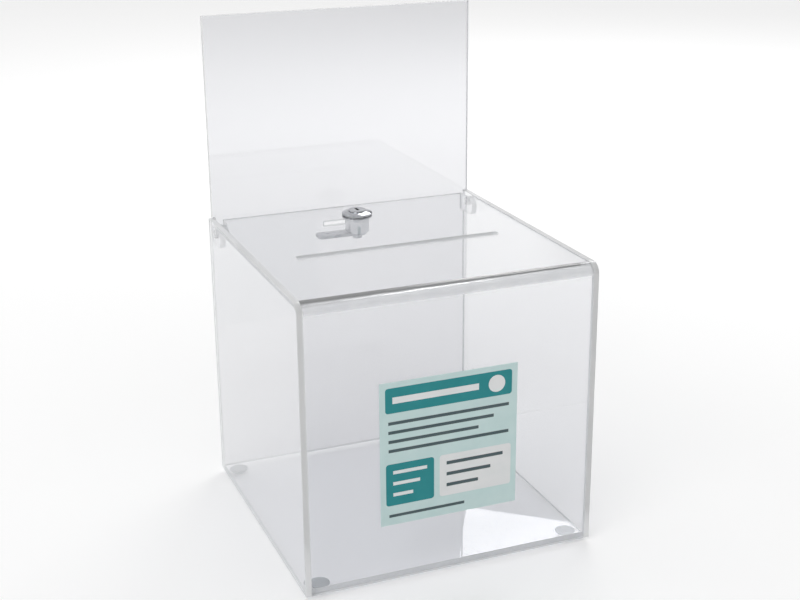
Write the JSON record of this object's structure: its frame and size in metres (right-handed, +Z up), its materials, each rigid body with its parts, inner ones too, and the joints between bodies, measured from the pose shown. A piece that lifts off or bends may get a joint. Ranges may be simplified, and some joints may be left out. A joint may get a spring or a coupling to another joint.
{
  "type": "ballot box",
  "caption": "Clear acrylic ballot box with a slotted top, a hinged back panel that rises as a display header, a cam lock, bumper feet and a front label.",
  "frame": {"origin": "on the floor, under the middle of the box", "axes": "+Z up, front face with the label towards -Y, +X to the right as seen from the front"},
  "size_m": [0.21, 0.2101, 0.354],
  "materials": {
    "acrylic": "clear, polished",
    "chrome": "polished",
    "steel": "plated",
    "brass": "plain",
    "bumper": "clear, soft",
    "label": "printed film"
  },
  "bodies": {
    "box": {"left_side_panel": "acrylic", "right_side_panel": "acrylic", "front_top_panel": "acrylic", "bottom_panel": "acrylic", "left_hinge_pin": "acrylic", "right_hinge_pin": "acrylic", "lock_body": "chrome", "lock_clip": "steel", "foot_front_left": "bumper", "foot_front_right": "bumper", "foot_rear_left": "bumper", "foot_rear_right": "bumper", "front_label": "label"},
    "door": {"back_header_panel": "acrylic", "left_hinge_ear": "acrylic", "right_hinge_ear": "acrylic"},
    "plug": {"lock_plug": "chrome", "lock_cam": "steel", "cam_washer": "steel", "cam_screw": "steel", "wafer_1": "brass", "wafer_2": "brass", "wafer_3": "brass", "wafer_4": "brass"}
  },
  "joints": [
    {"name": "door_hinge", "type": "hinge", "parent": "box", "child": "door", "pos_m": [0, 0.089, 0.198], "axis": [1, 0, 0], "range_deg": [0, 90]},
    {"name": "lock_turn", "type": "hinge", "parent": "box", "child": "plug", "pos_m": [0, 0.073, 0.19], "axis": [0, 0, -1], "range_deg": [0, 90]}
  ]
}
